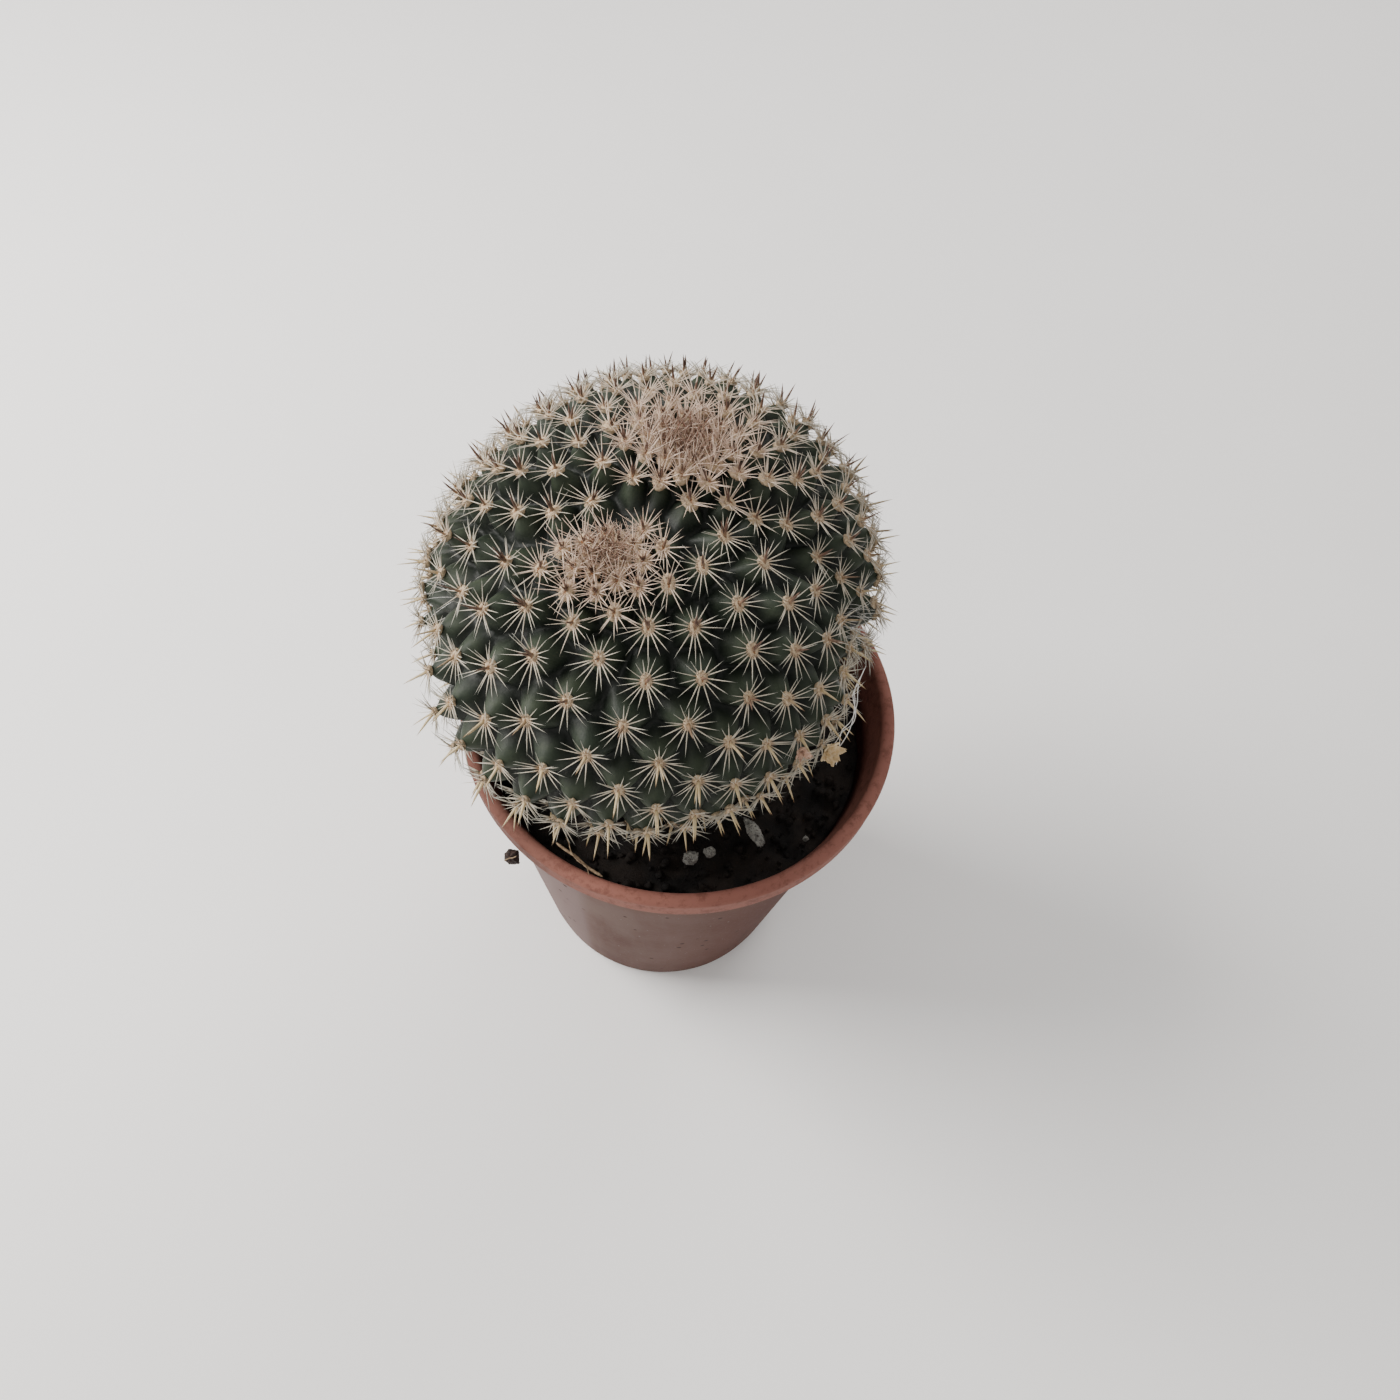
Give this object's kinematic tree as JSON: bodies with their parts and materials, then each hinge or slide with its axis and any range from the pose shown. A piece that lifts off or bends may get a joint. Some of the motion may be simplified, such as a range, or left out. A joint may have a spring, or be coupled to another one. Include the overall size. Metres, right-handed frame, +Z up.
{
  "type": "potted globular cactus",
  "caption": "Two-headed globular cactus with woolly, star-spined tubercles, growing in compost in a round tapered plastic nursery pot.",
  "frame": {"origin": "middle of the pot's flat underside, on the pot's axis", "axes": "+Z up along the pot's axis, out of the pot's mouth; +X and +Y across the pot, with the older head of the plant towards +Y and the younger one towards -Y"},
  "size_m": [0.1153, 0.1172, 0.1802],
  "materials": {
    "pot_plastic": "matte",
    "compost": "matte",
    "stem_skin": "satin",
    "spine_horn": "satin",
    "young_spine_horn": "satin",
    "perlite": "matte",
    "dried_petal": "matte",
    "bark": "matte",
    "straw": "matte"
  },
  "bodies": {
    "root": {"bark_chip": "bark", "crown_spines_back": "young_spine_horn", "crown_spines_front": "young_spine_horn", "dried_flower_1": "dried_petal", "dried_flower_2": "dried_petal", "perlite_grain_1": "perlite", "perlite_grain_2": "perlite", "perlite_grain_3": "perlite", "perlite_grain_4": "perlite", "pot": "pot_plastic", "soil": "compost", "spine_row_back_01": "spine_horn", "spine_row_back_02": "spine_horn", "spine_row_back_03": "spine_horn", "spine_row_back_04": "spine_horn", "spine_row_back_05": "spine_horn", "spine_row_back_06": "spine_horn", "spine_row_back_07": "spine_horn", "spine_row_back_08": "spine_horn", "spine_row_back_09": "spine_horn", "spine_row_back_10": "spine_horn", "spine_row_back_11": "spine_horn", "spine_row_back_12": "spine_horn", "spine_row_back_13": "spine_horn", "spine_row_back_14": "spine_horn", "spine_row_back_15": "spine_horn", "spine_row_back_16": "spine_horn", "spine_row_back_17": "spine_horn", "spine_row_back_18": "spine_horn", "spine_row_back_19": "spine_horn", "spine_row_back_20": "spine_horn", "spine_row_back_21": "spine_horn", "spine_row_back_22": "spine_horn", "spine_row_back_23": "spine_horn", "spine_row_back_24": "spine_horn", "spine_row_front_01": "spine_horn", "spine_row_front_02": "spine_horn", "spine_row_front_03": "spine_horn", "spine_row_front_04": "spine_horn", "spine_row_front_05": "spine_horn", "spine_row_front_06": "spine_horn", "spine_row_front_07": "spine_horn", "spine_row_front_08": "spine_horn", "spine_row_front_09": "spine_horn", "spine_row_front_10": "spine_horn", "spine_row_front_11": "spine_horn", "spine_row_front_12": "spine_horn", "stem": "stem_skin", "straw": "straw"}
  },
  "joints": []
}
